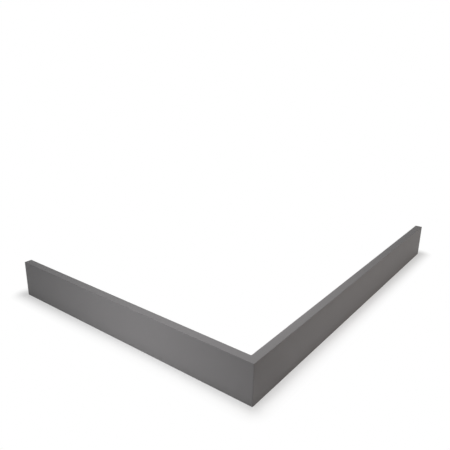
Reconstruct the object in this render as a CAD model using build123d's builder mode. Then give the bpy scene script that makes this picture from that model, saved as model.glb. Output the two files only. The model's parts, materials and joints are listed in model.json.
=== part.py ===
"""Corner skirt panel for a raised shower tray: a long and a short leg cast as one L-shaped piece.

The panel stands on its foot, +Z up. The origin lies on the floor under the middle of the outline,
the long leg runs along +X and the short leg along +Y from the outer corner.
"""
import os

from build123d import *

# Driving dimensions, in millimetres
long_leg_length = 1200  # outer face of the long leg, from the outer corner to its wall end
short_leg_length = 900  # outer face of the short leg, from the outer corner to its wall end
panel_height = 117  # floor to top edge
wall_thickness = 25  # solid cast wall of both legs
outer_corner_radius = 3  # upright corner where the two show faces meet
inner_corner_radius = 3  # cast fillet in the upright corner behind the two legs
arris_radius = 1.5  # eased rim of the top and eased uprights of the wall ends

# The sides of the outline, measured from its middle
outer_x = -long_leg_length / 2
outer_y = -short_leg_length / 2
wall_end_x = outer_x + long_leg_length
wall_end_y = outer_y + short_leg_length
inner_x = outer_x + wall_thickness
inner_y = outer_y + wall_thickness

with BuildPart() as corner_panel:
    # Footprint: one wall that turns the corner, rounded outside and filleted inside by its mould
    with BuildSketch() as footprint:
        with BuildLine() as outline:
            outer_side = FilletPolyline(
                (wall_end_x, outer_y),
                (outer_x, outer_y),
                (outer_x, wall_end_y),
                radius=outer_corner_radius,
            )
            inner_side = FilletPolyline(
                (wall_end_x, inner_y),
                (inner_x, inner_y),
                (inner_x, wall_end_y),
                radius=inner_corner_radius,
            )
            Line(outer_side @ 0, inner_side @ 0)
            Line(outer_side @ 1, inner_side @ 1)
        make_face()
    extrude(amount=panel_height)

    # The rim of the top and the uprights of the wall ends are eased in one pass, so that they meet
    # in rounded corners. The edges of the foot stay square, because the foot is ground flat.
    uprights = corner_panel.edges().filter_by(Axis.Z)
    wall_end_uprights = uprights.group_by(Axis.X)[-1] + uprights.group_by(Axis.Y)[-1]
    top_rim = corner_panel.faces().sort_by(Axis.Z)[-1].edges()
    fillet(wall_end_uprights + top_rim, radius=arris_radius)

corner_panel.part.label = "corner_panel"

os.makedirs("parts", exist_ok=True)
export_step(corner_panel.part, "parts/corner_panel.step")
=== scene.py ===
# %% [markdown]
# A shower tray that stands above the floor shows a dark gap under its rim. This panel closes that gap:
# a long and a short leg, cast in one piece, that wrap the tray's free corner.
# The solid comes from the imported part, in metres, standing on the floor at z = 0. It could be drawn
# again from a list of sizes, but a solid that is loaded can't drift away from the part. The script keeps
# its box from the start, and reads the panel's sizes from it.

# %% Load the imported panel
import json

import bmesh
import bpy
import numpy as np
from mathutils import Matrix, Vector


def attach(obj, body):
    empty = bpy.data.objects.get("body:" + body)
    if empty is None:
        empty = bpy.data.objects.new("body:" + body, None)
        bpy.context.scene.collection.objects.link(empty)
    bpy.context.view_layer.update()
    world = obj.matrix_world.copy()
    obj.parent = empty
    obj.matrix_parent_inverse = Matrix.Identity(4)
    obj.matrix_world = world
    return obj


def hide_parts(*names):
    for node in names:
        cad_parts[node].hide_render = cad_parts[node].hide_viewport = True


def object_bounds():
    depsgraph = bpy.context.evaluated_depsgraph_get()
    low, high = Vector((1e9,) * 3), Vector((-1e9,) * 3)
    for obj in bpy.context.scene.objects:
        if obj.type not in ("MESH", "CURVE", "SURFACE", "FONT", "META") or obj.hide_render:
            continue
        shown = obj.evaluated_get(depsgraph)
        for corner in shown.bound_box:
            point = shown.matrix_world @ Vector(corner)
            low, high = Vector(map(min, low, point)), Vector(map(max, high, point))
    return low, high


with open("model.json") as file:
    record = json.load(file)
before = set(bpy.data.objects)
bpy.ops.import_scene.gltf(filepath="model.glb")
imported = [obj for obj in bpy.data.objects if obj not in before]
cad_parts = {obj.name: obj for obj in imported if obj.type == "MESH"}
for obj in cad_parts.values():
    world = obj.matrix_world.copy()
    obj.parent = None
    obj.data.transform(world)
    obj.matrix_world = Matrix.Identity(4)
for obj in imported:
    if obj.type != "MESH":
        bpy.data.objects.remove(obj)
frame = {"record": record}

scene = bpy.context.scene
cad_low, cad_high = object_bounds()
print("CAD box in metres:", [round(v, 4) for v in (*cad_low, *cad_high)])

# %% [markdown]
# The mould sets the sizes of the real panel: two legs, a height, one wall and three small radii. All of
# them could be typed in again, but a copied number can go wrong. So every size is read from the frame
# where the frame holds it: the outline from the box, and the wall from the face that the tray leans on.
# Only the three radii are written here.

# %% Sizes of the casting
mounts = {mount["name"]: mount for mount in frame["record"]["mounts"]}
corner = np.array(cad_low)[:2]
long_leg, short_leg, height = np.array(cad_high) - np.array(cad_low)
wall = mounts["long_tray_side"]["pos_m"][1] - corner[1]
outer_radius = 0.003  # upright corner between the two show faces
inner_radius = 0.003  # fillet in the upright corner behind the legs
arris_radius = 0.0015  # rim of the top and uprights of the wall ends
print(f"legs {long_leg:.3f} and {short_leg:.3f} m, height {height:.3f} m, wall {wall:.3f} m")

# %% [markdown]
# The picture is taken from in front of the outer corner, from about the height of a table top, so that
# both show faces and the flat top are seen. The camera could be moved by hand until the picture looks
# right. Here its place, aim, roll and lens come from lining up the panel's straight edges with those in
# the photograph, which leaves less to the eye.

# %% Camera
eye = Vector((-1.4091, -0.9722, 0.7784))
aim = Vector((0.3761, 0.3741, 0.0))
roll_degrees = 0.962
lens_mm = 40.34
sensor_mm = 36.0

forward = (aim - eye).normalized()
level = forward.cross(Vector((0, 0, 1))).normalized()
upright = level.cross(forward)
roll = np.radians(roll_degrees)
right = level * np.cos(roll) + upright * np.sin(roll)
up = right.cross(forward)

camera = bpy.data.objects.new("camera", bpy.data.cameras.new("camera"))
camera.data.lens = lens_mm
camera.data.sensor_width = sensor_mm
turned = Matrix((right, up, -forward)).transposed()
camera.matrix_world = Matrix.Translation(eye) @ turned.to_4x4()
scene.collection.objects.link(camera)
scene.camera = camera
print(f"camera looks down by {np.degrees(np.arcsin(-forward.z)):.1f} degrees")

# %% [markdown]
# The wall has one section all the way: a flat show face, a rim eased by the mould, a flat back and a
# ground foot. A Bevel modifier on an L-shaped box would round every edge alike, but here the upright
# corners and the rim have radii of their own, and the foot is square.
# So the panel is made as if a ball were rolled inside the casting: a thinner core, plus the ball's
# radius in the direction that the surface faces. Along the wall that direction turns with the corner,
# and at a wall end it tips over until it points out of the end.
# First come the stations along the wall. They crowd together where a straight leg runs into a round, so
# that the faces grow step by step away from it.

# %% Stations along the wall
QUARTER_TURN = np.pi / 2
END_STEPS = 8  # round the uprights of a wall end
LEG_STEPS = 44  # along each leg
TURN_STEPS = 16  # round the upright corner


def crowded(steps):
    """Shares from 0 to 1, crowded at both ends: half of (one minus the cosine of a half turn)."""
    return (1 - np.cos(np.linspace(0, np.pi, steps + 1))) / 2


def end_to_end(*stretches):
    """Stretches joined one after another; a single number in a stretch holds for the whole of it."""
    filled = [np.broadcast_arrays(*stretch) for stretch in stretches]
    return [np.concatenate(values) for values in zip(*filled)]


def wall_stations():
    """Turn, tip and run of each station, from the long leg's wall end to the short leg's.

    Turn goes from 0 to a quarter turn at the corner. Tip is a quarter turn on a wall end and 0 along
    the legs. Run is 0 at a wall end and 1 at the corner.
    """
    tip_up = np.linspace(0, QUARTER_TURN, END_STEPS + 1)
    leg = crowded(LEG_STEPS)
    bend = np.linspace(0, QUARTER_TURN, TURN_STEPS + 1)
    long_end = (0.0, tip_up[::-1], 0.0)
    long_side = (0.0, 0.0, leg[1:])
    upright_corner = (bend[1:], 0.0, 1.0)
    short_side = (QUARTER_TURN, 0.0, leg[::-1][1:])
    short_end = (QUARTER_TURN, tip_up[1:], 0.0)
    return end_to_end(long_end, long_side, upright_corner, short_side, short_end)


turn, tip, run = wall_stations()
print(len(turn), "stations along the wall")

# %% [markdown]
# Then come the columns round the section. Cut across, the wall shows the show face, a small round, the
# flat top, the same round again, the back and the foot. A curve with this outline could be swept along
# the legs, but a sweep stops dead at its ends, and the wall ends are rounded too. So each column keeps
# its place on the core and the direction in which it faces, and the wall ends can tip that direction.

# %% Columns round the section
FACE_STEPS = 12  # up the show face, and down the back
ARRIS_STEPS = 8  # round each rim of the top
ACROSS_STEPS = 4  # across the top, and across the foot


def section_columns():
    """Share, lift, lean and rise of each column, round the section from the outer foot and back to it.

    Share is 0 on the outer core line and 1 on the inner one, lift is the core's height, and lean and
    rise are the parts of the facing direction outwards and upwards. Round a rim, these two are the
    cosine and the sine of a quarter turn.
    """
    shoulder = height - arris_radius
    face = crowded(FACE_STEPS) * shoulder
    arc = np.linspace(0, QUARTER_TURN, ARRIS_STEPS + 1)
    across = np.linspace(0, 1, ACROSS_STEPS + 1)[1:-1]
    show_face = (0.0, face, 1.0, 0.0)
    outer_rim = (0.0, shoulder, np.cos(arc[1:]), np.sin(arc[1:]))
    top = (across, shoulder, 0.0, 1.0)
    inner_rim = (1.0, shoulder, -np.sin(arc), np.cos(arc))
    back = (1.0, face[::-1][1:], -1.0, 0.0)
    foot = (1 - across, 0.0, 2 * across - 1, 0.0)
    return end_to_end(show_face, outer_rim, top, inner_rim, back, foot)


share, lift, lean, rise = section_columns()
print(len(share), "columns round the section")

# %% [markdown]
# Stations and columns cross in a grid, and each crossing is a point of the casting's skin. The skin could
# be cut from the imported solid, but its triangles are long and thin, and they shade unevenly. One formula
# for all crossings gives even rows of quads, and the rounds run into each other without a seam.

# %% The panel's surface
outward = np.stack([-np.sin(turn), -np.cos(turn)], axis=1)
along = np.stack([np.cos(turn), np.sin(turn)], axis=1)


def core_line(reach, core_radius):
    """A line of the core in plan, one point for each station.

    The middle of the corner's round lies a reach inside both show faces. Each point is that middle, plus
    the core's radius outwards, plus what is left of the leg's straight stretch along the leg.
    """
    leg_length = np.where(turn < QUARTER_TURN / 2, long_leg, short_leg)
    straight = (1 - run) * (leg_length - arris_radius - reach)
    return corner + reach + core_radius * outward + straight[:, None] * along


def panel_surface():
    """Points of the wall as a grid of stations by columns.

    Each point is its core point, plus the arris radius times its facing direction: the cosine of the
    tip times the section's own direction, and the sine of the tip along the leg.
    """
    outer_core = core_line(outer_radius, outer_radius - arris_radius)
    inner_core = core_line(wall + inner_radius, inner_radius + arris_radius)
    core = outer_core[:, None] * (1 - share)[:, None] + inner_core[:, None] * share[:, None]
    round_part = arris_radius * np.cos(tip)[:, None]
    end_part = arris_radius * np.sin(tip)[:, None]
    level_points = core + (round_part * lean)[..., None] * outward[:, None]
    level_points = level_points + end_part[..., None] * along[:, None]
    heights = lift + round_part * rise
    return np.concatenate([level_points, heights[..., None]], axis=2)


points = panel_surface()
print("surface grid", points.shape)

# %% [markdown]
# The grid is a sleeve, open at the two wall ends. One many-sided face could close an end, but it shades
# badly beside a round. So each end is a small flat grid between the outer and the inner face. It has the
# same steps as the sleeve, so that every point on its border has a partner to weld to.

# %% Wall ends
def wall_end_grid(station):
    """Flat end between the outer and the inner face: straight lines across at every height."""
    outer_side = points[station, : FACE_STEPS + 1]
    first_inner = FACE_STEPS + 2 * ARRIS_STEPS + ACROSS_STEPS
    inner_side = points[station, first_inner : first_inner + FACE_STEPS + 1][::-1]
    across = np.linspace(0, 1, ACROSS_STEPS + 1)[:, None]
    return outer_side[:, None] * (1 - across) + inner_side[:, None] * across


wall_ends = [wall_end_grid(0), wall_end_grid(-1)]
print("each wall end is a grid", wall_ends[0].shape)

# %% [markdown]
# Handling rubs the rounded edges of a panel a touch shinier than its flats, and the side that nobody
# sees is left raw. A material could guess both from the shape, but the guess would change with the mesh.
# The grid knows them exactly, so they ride along as two masks on the points.

# %% Masks for the finish
def edge_mask():
    """Twice the product of sine and cosine of each rounding: 0 on flats, 1 half way round an edge."""
    section = np.abs(2 * lean * rise)[None]
    wall_end = np.abs(np.sin(2 * tip))[:, None]
    upright_corner = np.abs(np.sin(2 * turn))[:, None] * (share == 0)
    return np.maximum(np.maximum(section, wall_end), upright_corner)


def raw_mask():
    """1 on the back and the foot, 0 on the show face and the top, and the lean of the rim between."""
    foot = (lift == 0) & (share > 0) & (share < 1)
    round_section = np.where(foot, 1.0, share * np.abs(lean))
    return np.broadcast_to(round_section, points.shape[:2])


masks = {"edge": edge_mask(), "raw": raw_mask()}
for name, mask in masks.items():
    print(f"{name} mask: above a half on {np.mean(mask > 0.5):.0%} of the points")

# %% [markdown]
# Points alone show nothing, so faces join them: each face is a quad of four neighbours in a grid. The
# order in which a face names its points says which side is out. Blender can work the outside out later,
# but here it is known: the second wall end is a mirror image of the first, so its quads are named the
# other way round.

# %% Faces of the skin
def grid_faces(rows, columns, first, closed=False):
    """Quads of a grid of points numbered row by row; closed joins the last column to the first."""
    index = first + np.arange(rows * columns).reshape(rows, columns)
    if closed:
        index = np.concatenate([index, index[:, :1]], axis=1)
    quads = np.stack([index[:-1, :-1], index[:-1, 1:], index[1:, 1:], index[1:, :-1]], axis=2)
    return quads.reshape(-1, 4)


def skin_faces():
    """Quads of the sleeve and of both wall ends; the second end is turned round, to face outwards."""
    rows, columns = points.shape[:2]
    end_rows, end_columns = wall_ends[0].shape[:2]
    first_end = rows * columns
    second_end = first_end + end_rows * end_columns
    sleeve = grid_faces(rows, columns, 0, closed=True)
    long_end = grid_faces(end_rows, end_columns, first_end)
    short_end = grid_faces(end_rows, end_columns, second_end)[:, ::-1]
    return np.concatenate([sleeve, long_end, short_end])


faces = skin_faces()
print(len(faces), "quads before welding")

# %% [markdown]
# The sleeve and the ends now become one mesh. They could stay three pieces that only touch, but the real
# panel is one casting, and a skin without gaps can be measured: every edge has a face on both sides, and
# the volume inside is above zero only if the faces point outwards.
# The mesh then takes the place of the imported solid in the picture, on the same body.

# %% One closed skin
WELD_DISTANCE = 1e-6
SMOOTH_BELOW_DEGREES = 30
LITRES_PER_CUBIC_METRE = 1000


def weld_shut(mesh):
    """Joins the points that share a place, and shades smoothly wherever the skin bends only a little."""
    weld = bmesh.new()
    weld.from_mesh(mesh)
    bmesh.ops.remove_doubles(weld, verts=weld.verts, dist=WELD_DISTANCE)
    open_edges = sum(not side.is_contiguous for side in weld.edges)
    litres = weld.calc_volume(signed=True) * LITRES_PER_CUBIC_METRE
    weld.to_mesh(mesh)
    weld.free()
    mesh.shade_smooth()
    mesh.set_sharp_from_angle(angle=np.radians(SMOOTH_BELOW_DEGREES))
    print(f"{len(mesh.polygons)} faces, {open_edges} open edges, {litres:.3f} litres inside")


def corner_panel_mesh():
    """The sleeve and its two ends as one welded mesh, with the edge and raw masks on its points."""
    spots = np.concatenate([grid.reshape(-1, 3) for grid in (points, *wall_ends)])
    mesh = bpy.data.meshes.new("corner_panel_casting")
    mesh.from_pydata(spots.tolist(), [], faces.tolist())
    for name, mask in masks.items():
        plain_ends = np.zeros(len(spots) - mask.size)
        values = np.concatenate([mask.ravel(), plain_ends]).astype(np.float32)
        mesh.attributes.new(name, "FLOAT", "POINT").data.foreach_set("value", values)
    weld_shut(mesh)
    return mesh


panel = bpy.data.objects.new("corner_panel_casting", corner_panel_mesh())
scene.collection.objects.link(panel)
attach(panel, "root")
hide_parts("corner_panel")

# %% [markdown]
# A finish is a small network of nodes. Wiring them one by one is long to read, so an output socket is
# wrapped in a class that knows arithmetic: an expression on wires adds the Math nodes it needs.
# Every other node comes from one method, which sets the node up and joins its sockets.

# %% Wires with arithmetic
# A Mix node repeats its socket names for every kind of data, so those for colours go by their numbers
MIX_SHARE = 0
MIX_FIRST_COLOUR = 6
MIX_SECOND_COLOUR = 7
MIXED_COLOUR = 2


class Wire:
    """An output socket. Arithmetic on wires and numbers adds Math nodes to their tree."""

    def __init__(self, tree, socket=None):
        self.tree = tree
        self.socket = socket

    def feed(self, node, name):
        """Joins this wire to a node's input."""
        self.tree.links.new(self.socket, node.inputs[name])

    def node(self, kind, settings=None, sockets=None, output=0):
        """A node of this kind: its settings first, then its sockets from values or wires."""
        made = self.tree.nodes.new(kind)
        for name, value in (settings or {}).items():
            setattr(made, name, value)
        for name, value in (sockets or {}).items():
            if isinstance(value, Wire):
                value.feed(made, name)
            else:
                made.inputs[name].default_value = value
        return Wire(self.tree, made.outputs[output])

    def math(self, operation, first, second=0.0):
        """A Math node on one or two values or wires."""
        return self.node("ShaderNodeMath", {"operation": operation}, {0: first, 1: second})

    def __add__(self, other):
        return self.math("ADD", self, other)

    def __sub__(self, other):
        return self.math("SUBTRACT", self, other)

    def __rsub__(self, other):
        return self.math("SUBTRACT", other, self)

    def __mul__(self, other):
        return self.math("MULTIPLY", self, other)

    __radd__ = __add__
    __rmul__ = __mul__

    def colour_mix(self, first, second):
        """A colour on the way from the first to the second, by this wire's value."""
        sockets = {MIX_SHARE: self, MIX_FIRST_COLOUR: first, MIX_SECOND_COLOUR: second}
        return self.node("ShaderNodeMix", {"data_type": "RGBA"}, sockets, output=MIXED_COLOUR)


print("wires know +, - and *, with a number on either side")

# %% [markdown]
# Mineral casting is stone flour bound with resin. The mould is first sprayed with a coloured gel coat,
# which leaves the show face smooth and satin. It still isn't one flat colour: the pigment clouds a
# little, the fine filler shows through as grain, and the sprayed coat has a faint orange peel.
# A picture of such a surface could be wrapped round the panel, but it would need a flattened copy of the
# skin, and its seams would show. Noise in Object coordinates runs through the whole piece, as the real
# filler does.

# %% Patterns in the casting
gel_coat = bpy.data.materials.new("grey_gel_coat")
gel_coat.use_nodes = True
coat_shader = gel_coat.node_tree.nodes["Principled BSDF"]
casting = Wire(gel_coat.node_tree)
casting_place = casting.node("ShaderNodeTexCoord", output="Object")


def noise(features_per_metre, detail, roughness=0.5):
    """Noise of this size. Detail adds finer layers to it, and roughness makes them stronger."""
    kind = {"Scale": features_per_metre, "Detail": detail, "Roughness": roughness}
    return casting.node("ShaderNodeTexNoise", sockets={"Vector": casting_place, **kind})


drift = noise(features_per_metre=3.5, detail=2)
cloud = noise(features_per_metre=11, detail=3)
pour = noise(features_per_metre=75, detail=4, roughness=0.6)
peel = noise(features_per_metre=330, detail=1)
grain = noise(features_per_metre=480, detail=3, roughness=0.65)
edge = casting.node("ShaderNodeAttribute", {"attribute_name": "edge"}, output="Fac")
raw = casting.node("ShaderNodeAttribute", {"attribute_name": "raw"}, output="Fac")
print("five noises and two masks for", gel_coat.name)

# %% [markdown]
# The coat is a middle grey with hardly any hue. The back and the foot have no gel coat, so there the
# stone shows, paler and a little warmer. Two materials with a border between them would give a hard
# line, but a sprayed coat thins out towards its edge, here round the inner rim. So one material blends
# the two colours by the raw mask.

# %% Colour of the coat and of the raw stone
NEUTRAL = (1.0, 1.0, 1.0)
COAT_TINT = (1.015, 0.985, 1.0)
STONE_TINT = (1.03, 1.0, 0.96)
GRAIN_IN_COAT = 0.35
GRAIN_IN_STONE = 0.25
GRAIN_DRIFT = 0.2


def colour(level, tint=NEUTRAL):
    """A colour with this linear level of grey, times a tint."""
    return (*(level * np.array(tint)), 1.0)


def greys(pattern, dark, pale, tint):
    """A colour on the way from a dark to a pale grey of one tint, by the pattern's value."""
    return pattern.colour_mix(colour(dark, tint), colour(pale, tint))


pigment = greys(cloud, dark=0.176, pale=0.200, tint=COAT_TINT)
flour = greys(grain, dark=0.108, pale=0.268, tint=COAT_TINT)
stone = greys(pour, dark=0.19, pale=0.27, tint=STONE_TINT)
coat = (drift * GRAIN_DRIFT + GRAIN_IN_COAT).colour_mix(pigment, flour)
back = (drift * GRAIN_DRIFT + GRAIN_IN_STONE).colour_mix(stone, flour)
raw.colour_mix(coat, back).feed(coat_shader, "Base Color")
print(f"share of grain: {GRAIN_IN_COAT} or more in the coat, {GRAIN_IN_STONE} or more in the stone")

# %% [markdown]
# A satin coat has broad, soft reflections, which are a bit tighter on the edges that the mould rounds.
# One roughness for all would look like plastic film. So clouds and grain vary it a little, and the raw
# stone is much duller.

# %% Sheen
COAT_ROUGHNESS = 0.43
CLOUDS_ADD = 0.08
GRAIN_ADDS = 0.04
EDGES_LOSE = 0.05
RAW_ADDS = 0.24
SPECULAR_LEVEL = 0.3

coat_roughness = COAT_ROUGHNESS + cloud * CLOUDS_ADD + grain * GRAIN_ADDS - edge * EDGES_LOSE
(coat_roughness + raw * RAW_ADDS).feed(coat_shader, "Roughness")
coat_shader.inputs["Specular IOR Level"].default_value = SPECULAR_LEVEL
print(f"roughness about {COAT_ROUGHNESS + (CLOUDS_ADD + GRAIN_ADDS) / 2:.2f} on the coat")

# %% [markdown]
# Sprayed coat dries with a faint orange peel, and the raw side keeps the dimples of the pour. Both are
# only a fraction of a millimetre deep, so moving the skin itself would cost many faces for next to
# nothing. A Bump node tilts the shading instead and leaves the shape alone.

# %% Relief
PEEL_SHARE = 0.7
GRAIN_SHARE = 0.3
RELIEF_STRENGTH = 0.5
RELIEF_DEPTH = 0.0002

relief = peel * (1 - raw) * PEEL_SHARE + (pour + grain * GRAIN_SHARE) * raw
dents = {"Strength": RELIEF_STRENGTH, "Distance": RELIEF_DEPTH, "Height": relief}
casting.node("ShaderNodeBump", sockets=dents).feed(coat_shader, "Normal")
panel.data.materials.append(gel_coat)
print(gel_coat.name, "has", len(gel_coat.node_tree.nodes), "nodes")

# %% [markdown]
# The panel's shadow lies close to the wall, and the rest of the ground is plain white. To tell the two
# apart, the floor has to know how far each of its points lies from the panel. That could be painted on
# the floor's points, but it would take a fine mesh. The footprint is two rectangles, and the distance
# from a rectangle is a short formula.

# %% Distance from the panel
def distance_from_panel(start):
    """Distance of a floor point from the nearer leg, whose footprint is a rectangle.

    For one leg it is the root of the summed squares of how far the point lies outside along x and y.
    """
    place = start.node("ShaderNodeTexCoord", output="Object")

    def outside(axis, middle, half):
        """How far the point lies outside a leg along one axis, and 0 inside."""
        away = start.node("ShaderNodeSeparateXYZ", sockets={"Vector": place}, output=axis) - middle
        return start.math("MAXIMUM", start.math("ABSOLUTE", away) - half, 0.0)

    def from_leg(x_length, y_length):
        """Distance from a leg of these lengths, which starts at the panel's outer corner."""
        half = np.array([x_length, y_length]) / 2
        middle = corner + half
        x = outside("X", middle[0], half[0])
        y = outside("Y", middle[1], half[1])
        return start.math("SQRT", x * x + y * y)

    return start.math("MINIMUM", from_leg(long_leg, wall), from_leg(wall, short_leg))


print(f"footprints {long_leg:.3f} by {wall:.3f} m and {wall:.3f} by {short_leg:.3f} m")

# %% [markdown]
# The floor is a pale sheet that takes the panel's shadow. A shadow catcher could do this, but its picture
# has to be laid over white afterwards. Here, to the camera and in reflections, half or more of the
# floor's colour is plain white light, so that the ground stays white without shining any more light on
# the panel. Away from the panel there is no shadow to keep, so the white takes over within a hand's
# width of the wall.

# %% Floor
FLOOR_HALF = 30.0
FLOOR_GREY = 0.9
WHITE_SHARE_AT_WALL = 0.5
ALL_WHITE_FROM = 0.06


def seen_directly(start):
    """1 for camera rays and for rays mirrored or let through on their way, 0 for light that scatters."""
    camera_ray = start.node("ShaderNodeLightPath", output="Is Camera Ray")
    glossy_ray = start.node("ShaderNodeLightPath", output="Is Glossy Ray")
    passed_ray = start.node("ShaderNodeLightPath", output="Is Transmission Ray")
    return start.math("MINIMUM", camera_ray + glossy_ray + passed_ray, 1.0)


def floor_finish():
    """Pale paper at the wall that gives way to plain white with the distance from the nearer leg."""
    material = bpy.data.materials.new("pale_floor")
    material.use_nodes = True
    tree = material.node_tree
    tree.nodes.remove(tree.nodes["Principled BSDF"])
    start = Wire(tree)
    reach = {"Value": distance_from_panel(start), "From Min": 0.0, "From Max": ALL_WHITE_FROM}
    reach.update({"To Min": WHITE_SHARE_AT_WALL, "To Max": 1.0})
    white_share = start.node("ShaderNodeMapRange", {"interpolation_type": "SMOOTHSTEP"}, reach)
    paper = start.node("ShaderNodeBsdfDiffuse", sockets={"Color": colour(FLOOR_GREY)})
    white = start.node("ShaderNodeEmission", sockets={"Color": colour(1.0), "Strength": 1.0})
    layers = {0: seen_directly(start) * white_share, 1: paper, 2: white}
    start.node("ShaderNodeMixShader", sockets=layers).feed(tree.nodes["Material Output"], "Surface")
    return material


sheet = np.array([[-1, -1, 0], [1, -1, 0], [1, 1, 0], [-1, 1, 0]]) * FLOOR_HALF
floor_mesh = bpy.data.meshes.new("floor")
floor_mesh.from_pydata(sheet.tolist(), [], [(0, 1, 2, 3)])
floor_mesh.materials.append(floor_finish())
floor = bpy.data.objects.new("floor", floor_mesh)
scene.collection.objects.link(floor)
print(f"floor {2 * FLOOR_HALF:.0f} m wide, all white from {ALL_WHITE_FROM} m off the panel")

# %% [markdown]
# Round the panel there is only the white of the studio. A world of full white would also light the panel
# from all sides and wash its shading out. So the world is white to the camera, as the floor is, and a
# soft even grey to everything else.

# %% World
AMBIENT = 0.18

world = bpy.data.worlds.new("studio")
world.use_nodes = True
scene.world = world
sky = world.node_tree.nodes["Background"]
sky.inputs["Color"].default_value = colour(1.0)
sky_strength = seen_directly(Wire(world.node_tree)) * (1 - AMBIENT) + AMBIENT
sky_strength.feed(sky, "Strength")
print(f"ambient light {AMBIENT}")

# %% [markdown]
# In the photograph the tone changes along each leg. A sun lamp would light a straight leg evenly from end
# to end, so soft lamps near the panel do it: a pool of light over the corner, a wide light from higher
# up, a low key before the short leg, and a large warm fill before the long leg.
# Light adds up, so the watts were found by rendering each lamp alone and choosing the shares that
# together come nearest to the photograph's tones.

# %% Softboxes
def softbox(name, place, target, size, spread_degrees, watts, tint=NEUTRAL):
    """A square lamp, hidden from the camera, that faces its target; a small spread makes a pool."""
    lamp = bpy.data.lights.new(name, "AREA")
    lamp.size = size
    lamp.spread = np.radians(spread_degrees)
    lamp.energy = watts
    lamp.color = tint
    holder = bpy.data.objects.new(name, lamp)
    holder.location = place
    facing = Vector(target) - Vector(place)
    holder.rotation_euler = facing.to_track_quat("-Z", "Y").to_euler()
    holder.visible_camera = False
    scene.collection.objects.link(holder)
    print(f"{name}: {watts} W from {facing.length:.2f} m")


softbox(
    "pool",
    place=(-0.43, -0.31, 1.40),
    target=(-0.43, -0.31, 0.0),
    size=0.45,
    spread_degrees=80,
    watts=1.72,
)
softbox(
    "overhead",
    place=(-0.32, -0.17, 1.69),
    target=(-0.32, -0.17, 0.0),
    size=0.3,
    spread_degrees=180,
    watts=4.1,
)
softbox(
    "key",
    place=(-1.31, -0.09, 0.40),
    target=(-0.60, -0.08, 0.056),
    size=0.34,
    spread_degrees=90,
    watts=0.82,
)
softbox(
    "fill",
    place=(0.30, -1.91, 0.68),
    target=(0.30, -0.45, 0.056),
    size=1.1,
    spread_degrees=180,
    watts=2.42,
    tint=(1.0, 0.62, 0.36),
)

# %% [markdown]
# Blender can bend the tones of a picture like film does. That suits strong light, but it would turn the
# white ground grey. The Standard view shows each colour as it was worked out.

# %% Tones as worked out
scene.view_settings.view_transform = "Standard"
print("view transform:", scene.view_settings.view_transform)
